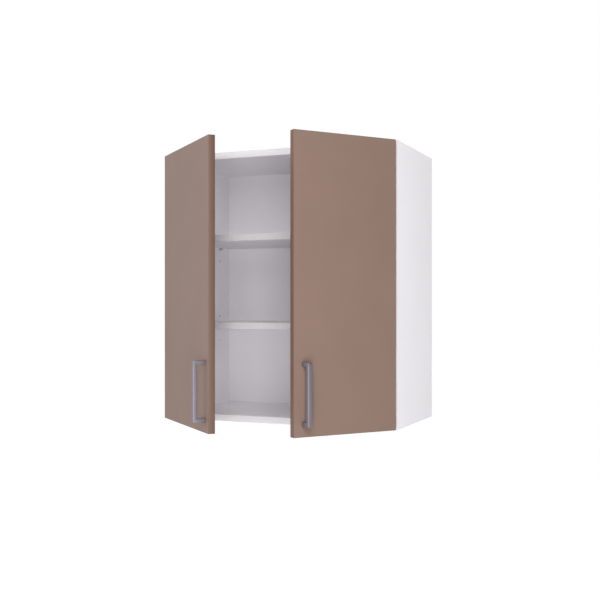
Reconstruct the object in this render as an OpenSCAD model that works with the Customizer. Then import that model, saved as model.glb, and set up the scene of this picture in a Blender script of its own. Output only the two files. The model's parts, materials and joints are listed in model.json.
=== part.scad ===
// Two-door kitchen wall cabinet with concealed four-pivot hinges.
// X runs to the right, Y into the wall, Z up. The origin lies on the wall plane,
// midway between the two hanging points.

/* [Carcass] */
// Width over the two side panels
cabinet_w = 600; // [500:10:800]
// Height over the top and bottom panels
cabinet_h = 660; // [640:10:960]
// Depth of the carcass, with its back and without its doors
carcass_d = 300; // [280:5:400]
// Thickness of the carcass boards
board_t = 16; // [15:0.5:18]
// Thickness of the hardboard back
back_t = 3; // [2.5:0.5:5]
// Thickness of the edge bands of the carcass and the shelves
board_band = 0.8; // [0.4:0.2:2]
// Distance from the outline of the carcass to the edge of the back
back_margin = 2; // [1:0.5:4]

/* [Doors] */
// Thickness of a door
door_t = 16; // [16:0.5:22]
// Thickness of the edge bands of a door
door_band = 1; // [0.4:0.2:2]
// Gap between the carcass and the back of a closed door
door_gap = 2; // [1.8:0.1:3]
// Distance from the side of the cabinet to the edge of a closed door
side_reveal = 1.5; // [1:0.25:3]
// Distance from the top and the bottom of the cabinet to the edges of a door
end_reveal = 2; // [1:0.5:4]
// Gap between the two closed doors
meeting_gap = 3; // [2:0.5:5]
// Width of the left door; the right door covers the rest of the front
left_door_w = 332; // [240:1:400]
// How far the left door stands open, in degrees
left_open = 42; // [0:1:90]
// How far the right door stands open, in degrees
right_open = 52; // [0:1:90]
// Diameter of the bumpers behind the doors
bumper_d = 8; // [6:0.5:10]
// Thickness of the bumpers
bumper_t = 1.6; // [1:0.1:1.7]

/* [Shelves] */
// Thickness of a shelf
shelf_t = 16; // [15:0.5:19]
// Height of the underside of the lower shelf above the bottom of the cabinet
lower_shelf_z = 226; // [180:2:260]
// Height of the underside of the upper shelf above the bottom of the cabinet
upper_shelf_z = 442; // [380:2:460]
// Distance from the front of the carcass to the front of a shelf
shelf_setback = 3; // [2:1:30]
// Clearance between a shelf and each side panel
shelf_side_gap = 1; // [0.5:0.25:2]
// Clearance between a shelf and the back
shelf_rear_gap = 2; // [1:0.5:10]
// Diameter of the holes for the shelf pins
pin_hole_d = 5; // [5:0.25:7]
// Depth of the holes for the shelf pins
pin_hole_depth = 10; // [9:0.5:12]
// Pitch of the rows of holes
hole_pitch = 32; // [24:1:40]
// Number of spare pin holes above and below each pin
spare_holes = 1; // [0:1:2]
// Distance from the front of the carcass to the front row of holes
front_row = 37; // [37:1:50]
// Distance from the rear of the carcass to the rear row of holes
rear_row = 60; // [40:1:90]
// Length of the part of a shelf pin that carries the shelf
pin_reach = 9; // [7:0.5:12]
// Width of the tongue of a shelf pin
pin_tongue_w = 11; // [9:0.5:14]
// Thickness of the tongue of a shelf pin
pin_tongue_t = 1.6; // [1:0.1:2.5]

/* [Handles] */
// Spacing of the two screws of a handle
handle_centres = 128; // [96:32:192]
// Width of the bar of a handle, across the door
handle_w = 10; // [8:0.5:16]
// Thickness of the bar of a handle, away from the door
handle_t = 10; // [6:0.5:12]
// Height of each leg of a handle, along the bar
handle_leg = 10; // [8:0.5:14]
// Distance from the door to the outer face of a handle
handle_reach = 29; // [22:1:40]
// Outer corner radius of a handle
handle_corner = 4; // [1:0.5:5]
// Distance from the free edge of a door to the middle of its handle
handle_inset = 24; // [20:1:60]
// Distance from the lower edge of a door to the lower end of its handle
handle_rise = 23; // [15:1:80]
// Thread diameter of the handle screws
handle_screw_d = 4; // [3:0.5:5]

/* [Hinges] */
// Distance from the end of a door to the middle of its hinge
hinge_inset = 100; // [70:5:120]
// Diameter of the hinge cup
cup_d = 35; // [35:0.5:36]
// Depth of the hinge cup below the back of the door
cup_depth = 12.8; // [12.8:0.1:13.2]
// Wall between the edge of a door and the cup
cup_edge = 3; // [3:0.25:3.5]
// Thickness of the wall and the floor of the cup
cup_wall = 0.7; // [0.5:0.1:0.8]
// Thickness of the flange of the cup
flange_t = 1; // [0.8:0.1:1.2]
// Spacing of the two screws of the cup
cup_screw_centres = 48; // [45:1:52]
// Distance from the middle of the cup to the line of its screws
cup_screw_offset = 9.5; // [8:0.5:11]
// Thickness of the sheet metal of the arm
arm_sheet = 1.4; // [1.2:0.1:1.6]
// Spacing of the two screws of a mounting plate
plate_centres = 32; // [30:1:36]
// Thickness of the wings of a mounting plate
plate_t = 2.2; // [1.8:0.1:2.6]
// Height of the rail of a mounting plate, with its wings
rail_h = 12; // [10:0.5:13]

/* [Joinery] */
// Diameter of the cams
cam_d = 15; // [14:0.5:16]
// Depth of the cams
cam_depth = 12; // [11.6:0.1:12.4]
// Distance from the end of a panel to the middle of a cam
cam_reach = 34; // [30:1:40]
// Distance from the front and the rear of a panel to the middle of a cam
cam_inset = 50; // [40:1:70]
// Diameter of the dowels
dowel_d = 8; // [6:0.5:9]
// Length of the dowels
dowel_len = 30; // [26:1:36]
// Depth of the dowel holes in the side panels
dowel_side_depth = 11; // [9:0.5:12]
// Length of the nails of the back
nail_len = 22; // [16:1:28]
// Diameter of the nails of the back
nail_d = 1.6; // [1.2:0.1:2]
// Largest distance between two nails
nail_spacing = 150; // [100:10:220]

/* [Hangers] */
// Distance from the top of the cabinet to the hanging points
hang_drop = 45; // [40:1:70]
// Width of a hanger plate
hanger_w = 14; // [12:0.5:14.5]
// Height of a hanger plate
hanger_h = 52; // [50:1:60]
// Thickness of a hanger plate
hanger_t = 2; // [1.5:0.25:2.25]
// Width of the slot of a hanger plate
keyhole_slot = 4.6; // [4:0.2:5]
// Diameter of the hole where the head of the wall screw enters
keyhole_entry = 9; // [8:0.25:9.5]
// Distance that the wall screw slides up its slot
keyhole_drop = 11; // [9:0.5:12]
// Depth of the pocket for the head of the wall screw
keyhole_pocket = 8; // [6:0.5:12]

/* [Hidden] */
$fn = 48;

// Places of the carcass
top_z = hang_drop;
bottom_z = hang_drop - cabinet_h;
front_y = -carcass_d;
board_y = front_y + board_band;
rear_y = -back_t;
inner_w = cabinet_w - 2 * board_t;
panel_d = carcass_d - back_t;
cut = 0.01;
fit = 0.05;
left = -1;
right = 1;

// Places of the doors
right_door_w = cabinet_w - 2 * side_reveal - meeting_gap - left_door_w;
door_h = cabinet_h - 2 * end_reveal;
door_z = bottom_z + end_reveal;
hinge_levels = [door_z + hinge_inset, door_z + door_h - hinge_inset];
lower = 0;
upper = 1;
bumper_inset = 22;
handle_grip = 12;

// Places of the shelves and their pins
shelf_w = inner_w - 2 * shelf_side_gap;
shelf_d = panel_d - shelf_setback - shelf_rear_gap;
shelf_levels = [bottom_z + lower_shelf_z, bottom_z + upper_shelf_z];
pin_rows = [front_y + front_row, -rear_row];
pin_drop = pin_tongue_t + pin_hole_d / 2;
pin_d = pin_hole_d - 2 * fit;

// Joinery: places along Y, and sizes of the bolt that the cam pulls
cam_rows = [front_y + cam_inset, rear_y - cam_inset];
dowel_rows = [cam_rows[0] + hole_pitch, cam_rows[1] - hole_pitch];
nail_below_hanger = 12;
nail_above_panel = 24;
nail_from_side = 40;
nail_head_h = 0.8;
bolt_hole_d = 8;
bolt_thread_d = 5;
bolt_thread_len = 10;
bolt_shank_d = 6;
bolt_neck_d = 3.6;
bolt_head_d = 6.4;
bolt_head_len = 3;
cam_slack = 0.5;

// Hangers
hanger_screw_d = 3;
hanger_screw_len = 18;
hanger_screw_head = 6;
hanger_screw_inset = 5;
hanger_screw_rise = hanger_h / 2 - hanger_screw_inset;

// Hinge geometry, in the plan of a closed door: x from the door's edge towards its middle,
// y from the door's back into the cabinet. The inner link turns on the arm at arm_inner and
// carries the cup at cup_inner; the outer link turns at arm_outer and follows at cup_outer.
arm_inner = [40.5, 11.4];
arm_outer = [19.8, -5.9];
cup_inner = [7.5, -1.6];
cup_outer = [7.6, -5.7];
outer_eye = [7.64, -6.24];
inner_bend = [12, -4.4];
outer_bends = [[7.1, -10.5], [15, -10.5]];

// Turn of each link for one degree of the door; the links turn against the door
inner_ratio = -0.3;
outer_ratio = -0.5817;

// Layers of a hinge, measured from its middle plane
inner_link_half = 2.5;
inner_lug = [2.8, 4];
outer_link_layer = [4.4, 5.6];
outer_lug = [6, 7.4];
lug_w = 11;
arm_half = outer_lug[0] + arm_sheet;
pivot_r = 1;
arm_pivot_r = 1.2;
running = 0.05;
seat = 0.02;
pivot_play = 0.63;
eye_wall = 0.72;
cup_eye_r = 2;
nose_r = 2;
inner_bar_r = 1.3;
outer_bar_r = 1.05;
arm_eye_r = 3;
rivet_head = 0.5;
cup_r = cup_d / 2;
cup_x = cup_edge + cup_r;
cup_hole_depth = cup_depth + 0.2;
rim_r = cup_r + 1.5;
rim_notch_half = arm_half + 1.1;
flange_ear_r = 6;
cup_screw_d = 3.5;
cup_screw_len = 11;
cup_screw_head_d = 6.4;
cup_screw_head_h = 1.5;

// Places of the arm and its plate, from the same corner of the door
side_x = board_t - side_reveal;
plate_y = front_row + door_gap;
plate_len = 40;
plate_lead = 13;
plate_y0 = plate_y - plate_lead;
wing_r = 7;
rail_half = 5.7;
web_x = side_x + rail_h;
arm_y1 = plate_y0 + plate_len;
arm_setback = 2;
arm_y0 = plate_y0 + arm_setback;
arm_top_cover = 0.4;
arm_top_x = arm_inner[0] + arm_eye_r + arm_top_cover;
arm_shoulder = 7;
arm_lip = 4;
arm_slope_run = 12;
arm_slope_y = plate_y0 + arm_slope_run;
arm_lift = 1.2;
plate_screw_d = 5;
plate_screw_len = 12;
plate_head_d = 9;
plate_head_h = 1.4;
arm_screw_d = 5;
arm_screw_head_d = 9;
arm_screw_head_h = 2.4;
arm_screw_len = 8;
arm_screw_front = 17;
arm_screw_rear = 32;
arm_screw_rows = [plate_y0 + arm_screw_front, plate_y0 + arm_screw_rear];
slot_w = 1.2;
slot_depth = 0.8;

door_colour = "#8f786a";
white_board = "#e6e5e8";
back_colour = "#dedde0";
band_colour = "#ecebee";
steel_colour = "#a9a8ac";
handle_colour = "#8c8689";
plastic_colour = "#d9d9dc";
wood_colour = "#c9ab7c";

module half(s) {
    if (s > 0) mirror([1, 0, 0]) children();
    else children();
}

// Plan of a closed door: the corner of its edge and its back is the origin
module hinge_plan(s) {
    half(s) translate([side_reveal - cabinet_w / 2, front_y - door_gap, 0]) children();
}

module turn(pivot, angle) {
    translate([pivot[0], pivot[1], 0]) rotate([0, 0, -angle]) translate([-pivot[0], -pivot[1], 0]) children();
}

function opening(s) = s < 0 ? left_open : right_open;

function door_w(s) = s < 0 ? left_door_w : right_door_w;

module with_inner_link(s) {
    hinge_plan(s) turn(arm_inner, inner_ratio * opening(s)) children();
}

module with_outer_link(s) {
    hinge_plan(s) turn(arm_outer, outer_ratio * opening(s)) children();
}

module with_door(s) {
    with_inner_link(s) turn(cup_inner, (1 - inner_ratio) * opening(s)) children();
}

module block(x, y, z) {
    translate([x[0], y[0], z[0]]) cube([x[1] - x[0], y[1] - y[0], z[1] - z[0]]);
}

// Cylinder along X from x0 to x1
module rod_x(x0, x1, d) {
    translate([x0, 0, 0]) rotate([0, 90, 0]) cylinder(h = x1 - x0, d = d);
}

// Cylinder along Y from y0 to y1
module rod_y(y0, y1, d) {
    translate([0, y1, 0]) rotate([90, 0, 0]) cylinder(h = y1 - y0, d = d);
}

module at_plan(p, z0) {
    translate([p[0], p[1], z0]) children();
}

// Straight bar with round ends, in plan
module bar(p, q, r) {
    d = q - p;
    translate(p) circle(r = r);
    translate(q) circle(r = r);
    translate(p) rotate(atan2(d[1], d[0])) translate([0, -r]) square([norm(d), 2 * r]);
}

// The same layer on both sides of the middle plane of a hinge
module both_sides(layer) {
    for (m = [0, 1])
        mirror([0, 0, m]) translate([0, 0, layer[0]]) linear_extrude(layer[1] - layer[0]) children();
}

// Carcass

module pin_holes(s) {
    for (level = shelf_levels, y = pin_rows, k = [-spare_holes : spare_holes])
        translate([0, y, level - pin_drop + k * hole_pitch])
            rod_x(cabinet_w / 2 - board_t - cut, cabinet_w / 2 - board_t + pin_hole_depth, pin_hole_d);
}

module side_panel(s) {
    inner = cabinet_w / 2 - board_t;
    color(white_board) mirror([s < 0 ? 1 : 0, 0, 0])
        difference() {
            block([inner, cabinet_w / 2], [board_y, rear_y], [bottom_z, top_z]);
            pin_holes(s);
            for (z = hinge_levels, k = [-1, 1])
                translate([0, front_y + front_row, z + k * plate_centres / 2])
                    rod_x(inner - cut, inner + plate_screw_len, plate_screw_d + 2 * fit);
            for (z = [bottom_z, top_z - board_t]) {
                for (y = cam_rows)
                    translate([0, y, z + board_t / 2])
                        rod_x(inner - cut, inner + bolt_thread_len, bolt_thread_d + 2 * fit);
                for (y = dowel_rows)
                    translate([0, y, z + board_t / 2])
                        rod_x(inner - cut, inner + dowel_side_depth, dowel_d + 2 * fit);
            }
            hanger_pocket(cabinet_w / 2 - board_t / 2);
            translate([cabinet_w / 2 - board_t / 2, 0, 0]) nail_column_holes();
        }
}

// Pocket behind a keyhole, with the pilot holes of its screws, in the rear edge of a side panel
module hanger_pocket(x) {
    w = keyhole_entry + 1;
    translate([x, 0, 0]) {
        translate([-w / 2, rear_y - keyhole_pocket, -keyhole_drop])
            cube([w, keyhole_pocket + cut, keyhole_drop + keyhole_slot / 2 + 1]);
        translate([0, 0, -keyhole_drop]) rod_y(rear_y - keyhole_pocket, rear_y + cut, w);
        for (k = [-1, 1])
            translate([0, 0, k * hanger_screw_rise - keyhole_drop / 2])
                rod_y(rear_y - hanger_screw_len, rear_y + cut, hanger_screw_d + 2 * fit);
    }
}

module panel_joints() {
    for (s = [left, right]) half(-s) {
        for (y = cam_rows) {
            translate([0, y, 0]) rod_x(inner_w / 2 - cam_reach, inner_w / 2 + cut, bolt_hole_d);
            translate([inner_w / 2 - cam_reach, y, board_t / 2 - cam_depth])
                cylinder(h = cam_depth + cut, d = cam_d + 2 * fit);
        }
        for (y = dowel_rows)
            translate([0, y, 0])
                rod_x(inner_w / 2 - dowel_len + dowel_side_depth - 1, inner_w / 2 + cut, dowel_d + 2 * fit);
    }
}

module end_panel(flip) {
    color(white_board)
        difference() {
            mirror([0, 0, flip]) difference() {
                block([-inner_w / 2, inner_w / 2], [board_y, rear_y], [-board_t / 2, board_t / 2]);
                panel_joints();
            }
            nail_row_holes();
        }
}

module top_panel() {
    translate([0, 0, top_z - board_t / 2]) end_panel(0);
}

module bottom_panel() {
    translate([0, 0, bottom_z + board_t / 2]) end_panel(1);
}

module back_panel() {
    w = cabinet_w - 2 * back_margin;
    notch_w = board_t / 2 + hanger_w / 2 + 1;
    notch_z = -keyhole_drop / 2 - hanger_h / 2 - 1;
    color(back_colour)
        difference() {
            block([-w / 2, w / 2], [rear_y, 0], [bottom_z + back_margin, top_z - back_margin]);
            for (s = [left, right]) half(-s)
                block([cabinet_w / 2 - notch_w, cabinet_w / 2], [rear_y - cut, cut], [notch_z, top_z]);
            every_nail() nail(cut, fit);
        }
}

module shelf(level) {
    color(white_board)
        block([-shelf_w / 2, shelf_w / 2], [board_y + shelf_setback, rear_y - shelf_rear_gap], [level, level + shelf_t]);
}

// Bands glued to the front edges of the side, top and bottom panels
module carcass_edge_bands() {
    color(band_colour) {
        for (s = [left, right]) half(-s)
            block([inner_w / 2, cabinet_w / 2], [front_y, board_y], [bottom_z, top_z]);
        for (z = [bottom_z, top_z - board_t])
            block([fit - inner_w / 2, inner_w / 2 - fit], [front_y, board_y], [z, z + board_t]);
    }
}

module shelf_edge_bands() {
    color(band_colour)
        for (level = shelf_levels)
            block([-shelf_w / 2, shelf_w / 2], [front_y + shelf_setback, board_y + shelf_setback], [level, level + shelf_t]);
}

module shelf_pins(level) {
    inner = inner_w / 2;
    color(steel_colour)
        for (s = [left, right], y = pin_rows) half(-s)
            translate([0, y, level - pin_drop]) {
                rod_x(inner - pin_reach, inner + pin_hole_depth - 1, pin_d);
                rod_x(inner - 1.2, inner, pin_d + 2.4);
                block([inner - pin_reach, inner - fit], [-pin_tongue_w / 2, pin_tongue_w / 2],
                    [pin_drop - pin_tongue_t, pin_drop]);
                block([inner - pin_reach, inner - 1], [-pin_d / 4, pin_d / 4], [0, pin_drop - cut]);
            }
}

// Joinery

module cam() {
    difference() {
        cylinder(h = cam_depth, d = cam_d);
        translate([-bolt_head_len / 2 - cam_slack, 0, cam_depth - board_t / 2])
            rotate([0, 90, 0]) cylinder(h = bolt_head_len + 2 * cam_slack, d = bolt_head_d + 2 * cam_slack);
        translate([-bolt_head_len / 2 - cam_slack, -bolt_head_d / 2 - cam_slack, -cut])
            cube([bolt_head_len + 2 * cam_slack, bolt_head_d + 2 * cam_slack, cam_depth - board_t / 2 + 2 * cut]);
        translate([0, -bolt_neck_d / 2 - cam_slack, -cut])
            cube([cam_d, bolt_neck_d + 2 * cam_slack, cam_depth - board_t / 2 + bolt_neck_d / 2 + cam_slack]);
        for (a = [0, 90])
            translate([0, 0, cam_depth - 1]) rotate(a) cube([cam_d / 2, slot_w, 4], center = true);
    }
}

module cams() {
    color(steel_colour)
        for (end = [0, 1], s = [left, right], y = cam_rows)
            translate([0, 0, end == 0 ? bottom_z + board_t / 2 : top_z - board_t / 2])
                mirror([0, 0, 1 - end]) half(-s)
                    translate([inner_w / 2 - cam_reach, y, board_t / 2 - cam_depth]) cam();
}

module cam_bolts() {
    inner = inner_w / 2;
    head_x = inner - cam_reach - bolt_head_len / 2;
    neck_x = inner - cam_reach + cam_d / 2 + cam_slack;
    color(steel_colour)
        for (z = [bottom_z + board_t / 2, top_z - board_t / 2], s = [left, right], y = cam_rows) half(-s)
            translate([0, y, z]) {
                rod_x(inner, inner + bolt_thread_len - 1, bolt_thread_d);
                rod_x(neck_x, inner, bolt_shank_d);
                rod_x(head_x, neck_x, bolt_neck_d);
                rod_x(head_x, head_x + bolt_head_len, bolt_head_d);
            }
}

module dowels() {
    inner = inner_w / 2;
    color(wood_colour)
        for (z = [bottom_z + board_t / 2, top_z - board_t / 2], s = [left, right], y = dowel_rows) half(-s)
            translate([0, y, z]) rod_x(inner - dowel_len + dowel_side_depth, inner + dowel_side_depth - 1, dowel_d);
}

// Nails: their shanks run forward from the back into the rear edges of the boards
module nail(proud, slack) {
    rod_y(-back_t - nail_len, 0, nail_d + 2 * slack);
    rod_y(-nail_head_h - slack, proud, 2 * nail_d + 2 * slack);
}

column_top = -keyhole_drop / 2 - hanger_h / 2 - nail_below_hanger;
column_bottom = bottom_z + board_t + nail_above_panel;
column_count = ceil((column_top - column_bottom) / nail_spacing);
row_reach = inner_w / 2 - nail_from_side;
row_count = ceil(2 * row_reach / nail_spacing);

module nail_column() {
    for (k = [0 : column_count])
        translate([0, 0, column_bottom + k * (column_top - column_bottom) / column_count]) children();
}

module nail_row() {
    for (k = [0 : row_count]) translate([-row_reach + k * 2 * row_reach / row_count, 0, 0]) children();
}

module nail_column_holes() {
    nail_column() nail(cut, fit);
}

module nail_row_holes() {
    nail_row() nail(cut, fit);
}

module every_nail() {
    for (s = [left, right]) translate([s * (cabinet_w - board_t) / 2, 0, 0]) nail_column() children();
    for (z = [bottom_z + board_t / 2, top_z - board_t / 2]) translate([0, 0, z]) nail_row() children();
}

module back_nails() {
    color(steel_colour) every_nail() nail(0, 0);
}

// Hangers

module hanger_plate(s) {
    half(-s) translate([(cabinet_w - board_t) / 2, rear_y, 0])
        color(steel_colour) difference() {
            block([-hanger_w / 2, hanger_w / 2], [0, hanger_t],
                [-keyhole_drop / 2 - hanger_h / 2, -keyhole_drop / 2 + hanger_h / 2]);
            rod_y(-cut, hanger_t + cut, keyhole_slot);
            translate([-keyhole_slot / 2, -cut, -keyhole_drop])
                cube([keyhole_slot, hanger_t + 2 * cut, keyhole_drop]);
            translate([0, 0, -keyhole_drop]) rod_y(-cut, hanger_t + cut, keyhole_entry);
            for (k = [-1, 1]) translate([0, 0, k * hanger_screw_rise - keyhole_drop / 2])
                hanger_screw(fit);
        }
}

// Countersunk screw, its head flush with the plate
module hanger_screw(slack) {
    rod_y(-hanger_screw_len + 1 - slack, hanger_t, hanger_screw_d + 2 * slack);
    translate([0, hanger_t + (slack > 0 ? cut : 0), 0]) rotate([90, 0, 0])
        cylinder(h = hanger_t - 0.4, d1 = hanger_screw_head + 2 * slack, d2 = hanger_screw_d + 2 * slack);
}

module hanger_screws() {
    color(steel_colour)
        for (s = [left, right], k = [-1, 1])
            translate([s * (cabinet_w - board_t) / 2, rear_y, k * hanger_screw_rise - keyhole_drop / 2])
                hanger_screw(0);
}

// Doors

module door(s) {
    color(door_colour) with_door(s)
        difference() {
            block([door_band, door_w(s) - door_band], [-door_t, 0], [door_z + door_band, door_z + door_h - door_band]);
            for (z = hinge_levels) translate([cup_x, 0, z]) {
                rod_y(-cup_hole_depth, cut, cup_d + 2 * fit);
                for (k = [-1, 1]) translate([cup_screw_offset, 0, k * cup_screw_centres / 2])
                    rod_y(-cup_screw_len, cut, cup_screw_d + 2 * fit);
            }
            handle_holes(s) rod_y(-door_t - cut, cut, handle_screw_d + 1);
        }
}

// Bands round the door: the upright ones run past the ends of the level ones
module door_edge_bands(s) {
    color(door_colour) with_door(s) {
        for (x = [0, door_w(s) - door_band])
            block([x, x + door_band], [-door_t, 0], [door_z, door_z + door_h]);
        for (z = [door_z, door_z + door_h - door_band])
            block([door_band + fit, door_w(s) - door_band - fit], [-door_t, 0], [z, z + door_band]);
    }
}

module handle_holes(s) {
    for (k = [0, 1])
        translate([door_w(s) - handle_inset, 0, door_z + handle_rise + handle_leg / 2 + k * handle_centres]) children();
}

// Side outline of a handle: y away from the door, z up
module handle_outline() {
    h = handle_centres + handle_leg;
    r = handle_corner;
    difference() {
        union() {
            square([handle_reach - r, h]);
            translate([0, r]) square([handle_reach, h - 2 * r]);
            for (z = [r, h - r]) translate([handle_reach - r, z]) circle(r = r);
        }
        translate([-cut, handle_leg]) square([handle_reach - handle_t + cut, h - 2 * handle_leg]);
    }
}

module handle(s) {
    color(handle_colour) with_door(s)
        difference() {
            translate([door_w(s) - handle_inset + handle_w / 2, -door_t, door_z + handle_rise])
                rotate([90, 0, -90]) linear_extrude(handle_w) handle_outline();
            handle_holes(s) rod_y(-door_t - handle_grip, -door_t + cut, handle_screw_d + 2 * fit);
        }
}

// Pan-headed screws through the door into the legs of the handle
module handle_screws(s) {
    head_h = 2.2;
    color(steel_colour) with_door(s)
        handle_holes(s) difference() {
            union() {
                rod_y(-door_t - handle_grip + 1, cut, handle_screw_d);
                rod_y(0, head_h, 2 * handle_screw_d);
            }
            cross_slot(head_h, handle_screw_d);
        }
}

module cross_slot(y, w) {
    for (a = [0, 90])
        translate([0, y, 0]) rotate([0, a, 0]) cube([w, 2 * slot_depth, slot_w], center = true);
}

module bumpers(s) {
    color(plastic_colour) with_door(s)
        for (z = [bottom_z + board_t / 2, top_z - board_t / 2])
            translate([door_w(s) - bumper_inset, 0, z]) rod_y(0, bumper_t, bumper_d);
}

// Hinges

module hinge_plate(s, level) {
    color(steel_colour) hinge_plan(s) translate([0, 0, hinge_levels[level]])
        difference() {
            union() {
                block([side_x, side_x + plate_t], [plate_y0, arm_y1], [-rail_half, rail_half]);
                block([side_x, web_x], [arm_y0, arm_y1 - arm_setback], [-rail_half, rail_half]);
                block([side_x, side_x + plate_t], [plate_y - wing_r, plate_y + wing_r],
                    [-plate_centres / 2, plate_centres / 2]);
                for (k = [-1, 1]) translate([0, plate_y, k * plate_centres / 2])
                    rod_x(side_x, side_x + plate_t, 2 * wing_r);
            }
            for (k = [-1, 1]) translate([0, plate_y, k * plate_centres / 2])
                rod_x(side_x - cut, side_x + plate_t + cut, plate_screw_d + 2 * fit);
            for (y = arm_screw_rows) translate([0, y, 0])
                rod_x(web_x - arm_screw_len, web_x + cut, arm_screw_d + 2 * fit);
        }
}

module plate_screws() {
    color(steel_colour)
        for (s = [left, right], z = hinge_levels, k = [-1, 1]) hinge_plan(s)
            translate([side_x, plate_y, z + k * plate_centres / 2])
                difference() {
                    union() {
                        rod_x(1 - plate_screw_len, plate_t, plate_screw_d);
                        rod_x(plate_t, plate_t + plate_head_h, plate_head_d);
                    }
                    for (a = [0, 90]) translate([plate_t + plate_head_h, 0, 0]) rotate([a, 0, 0])
                        cube([2 * slot_depth, plate_screw_d, slot_w], center = true);
                }
}

// Side flange of an arm, in plan
module arm_flange() {
    difference() {
        union() {
            bar(arm_outer, arm_inner, nose_r);
            translate(arm_inner) circle(r = arm_eye_r);
            polygon([
                [side_x + plate_t + arm_lift, arm_y0], [side_x + plate_t + arm_lift, arm_y1],
                [web_x + arm_sheet, arm_y1], [web_x + arm_sheet, arm_slope_y],
                [arm_top_x, arm_inner[1] + arm_shoulder], [arm_top_x, arm_inner[1]],
                arm_inner - [nose_r, arm_eye_r - arm_top_cover]
            ]);
        }
        for (p = [arm_inner, arm_outer]) translate(p) circle(r = arm_pivot_r + seat);
    }
}

// Web that joins the two flanges over the rail and behind the inner pivot
module arm_web() {
    t = arm_sheet;
    polygon([
        [web_x, arm_y1], [web_x + t, arm_y1], [web_x + t, arm_slope_y], [arm_top_x, arm_inner[1] + arm_shoulder],
        [arm_top_x, arm_inner[1] + arm_lip], [arm_top_x - t, arm_inner[1] + arm_lip],
        [arm_top_x - t, arm_inner[1] + arm_shoulder - t / 2], [web_x, arm_slope_y - t / 2]
    ]);
}

module hinge_arm(s, level) {
    color(steel_colour) hinge_plan(s) translate([0, 0, hinge_levels[level]])
        difference() {
            union() {
                both_sides([outer_lug[0], arm_half]) arm_flange();
                translate([0, 0, -arm_half]) linear_extrude(2 * arm_half) arm_web();
            }
            for (y = arm_screw_rows) translate([0, y, 0])
                rod_x(web_x - cut, web_x + arm_sheet + cut, arm_screw_d + 2 * fit);
        }
}

module arm_screws() {
    color(steel_colour)
        for (s = [left, right], z = hinge_levels, y = arm_screw_rows) hinge_plan(s)
            translate([web_x, y, z]) difference() {
                union() {
                    rod_x(0.5 - arm_screw_len, arm_sheet, arm_screw_d);
                    rod_x(arm_sheet, arm_sheet + arm_screw_head_h, arm_screw_head_d);
                }
                for (a = [0, 90]) translate([arm_sheet + arm_screw_head_h, 0, 0]) rotate([a, 0, 0])
                    cube([2 * slot_depth, arm_screw_d, slot_w], center = true);
            }
}

// The inner pin crosses the whole arm; the outer pivot is a rivet on each side
module arm_pins() {
    stub = outer_link_layer[0] - 0.1;
    color(steel_colour)
        for (s = [left, right], z = hinge_levels) hinge_plan(s) translate([0, 0, z]) {
            at_plan(arm_inner, -arm_half) cylinder(h = 2 * arm_half, r = arm_pivot_r);
            for (m = [0, 1]) mirror([0, 0, m]) {
                at_plan(arm_inner, arm_half) cylinder(h = rivet_head, r = 1.6 * arm_pivot_r);
                at_plan(arm_outer, stub) cylinder(h = arm_half - stub, r = arm_pivot_r);
                at_plan(arm_outer, arm_half) cylinder(h = rivet_head, r = 1.4 * arm_pivot_r);
            }
        }
}

// Straight link with a slight crank, between the arm and the cup
module inner_link(s, level) {
    color(steel_colour) with_inner_link(s) translate([0, 0, hinge_levels[level] - inner_link_half])
        linear_extrude(2 * inner_link_half) difference() {
            union() {
                translate(cup_inner) circle(r = cup_eye_r);
                bar(cup_inner, inner_bend, inner_bar_r);
                bar(inner_bend, arm_inner, inner_bar_r);
                translate(arm_inner) circle(r = arm_eye_r - 0.4);
            }
            translate(cup_inner) circle(r = pivot_r + running);
            translate(arm_inner) circle(r = arm_pivot_r + running);
        }
}

// Pair of hooked plates that reach round the edge of the door into the cup
module outer_link(s, level) {
    eye_hole = pivot_r + pivot_play;
    color(steel_colour) with_outer_link(s) translate([0, 0, hinge_levels[level]])
        both_sides(outer_link_layer) difference() {
            union() {
                translate(outer_eye) circle(r = eye_hole + eye_wall);
                bar(outer_eye, outer_bends[0], outer_bar_r);
                bar(outer_bends[0], outer_bends[1], outer_bar_r);
                bar(outer_bends[1], arm_outer, outer_bar_r);
                translate(arm_outer) circle(r = nose_r);
            }
            translate(outer_eye) circle(r = eye_hole);
            translate(arm_outer) circle(r = arm_pivot_r + running);
        }
}

module cup_flange() {
    difference() {
        union() {
            circle(r = rim_r);
            bar([cup_screw_offset, -cup_screw_centres / 2], [cup_screw_offset, cup_screw_centres / 2], flange_ear_r);
        }
        circle(r = cup_r - cup_wall);
        translate([-rim_r - 1, -rim_notch_half]) square([rim_r, 2 * rim_notch_half]);
        for (k = [-1, 1]) translate([cup_screw_offset, k * cup_screw_centres / 2])
            circle(d = cup_screw_d + 2 * fit);
    }
}

// Cup with its flange and the lugs that hold its two pins
module hinge_cup(s, level) {
    floor_y = cup_wall - cup_depth;
    color(steel_colour) with_door(s) translate([0, 0, hinge_levels[level]])
        difference() {
            union() {
                translate([cup_x, 0, 0]) difference() {
                    rod_y(-cup_depth, 0, cup_d);
                    rod_y(floor_y, cut, cup_d - 2 * cup_wall);
                }
                translate([cup_x, flange_t, 0]) rotate([90, 0, 0]) linear_extrude(flange_t) cup_flange();
                intersection() {
                    translate([cup_x, 0, 0]) rod_y(-cup_depth, 0, cup_d);
                    both_sides(inner_lug) lug_outline();
                }
                intersection() {
                    translate([cup_x, 0, 0]) rod_y(-cup_depth, 0, cup_d);
                    both_sides(outer_lug) lug_outline();
                }
            }
            at_plan(cup_inner, -outer_lug[1] - cut) cylinder(h = 2 * (outer_lug[1] + cut), r = pivot_r + seat);
            at_plan(cup_outer, -outer_lug[1] - cut) cylinder(h = 2 * (outer_lug[1] + cut), r = pivot_r + seat);
        }
}

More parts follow.
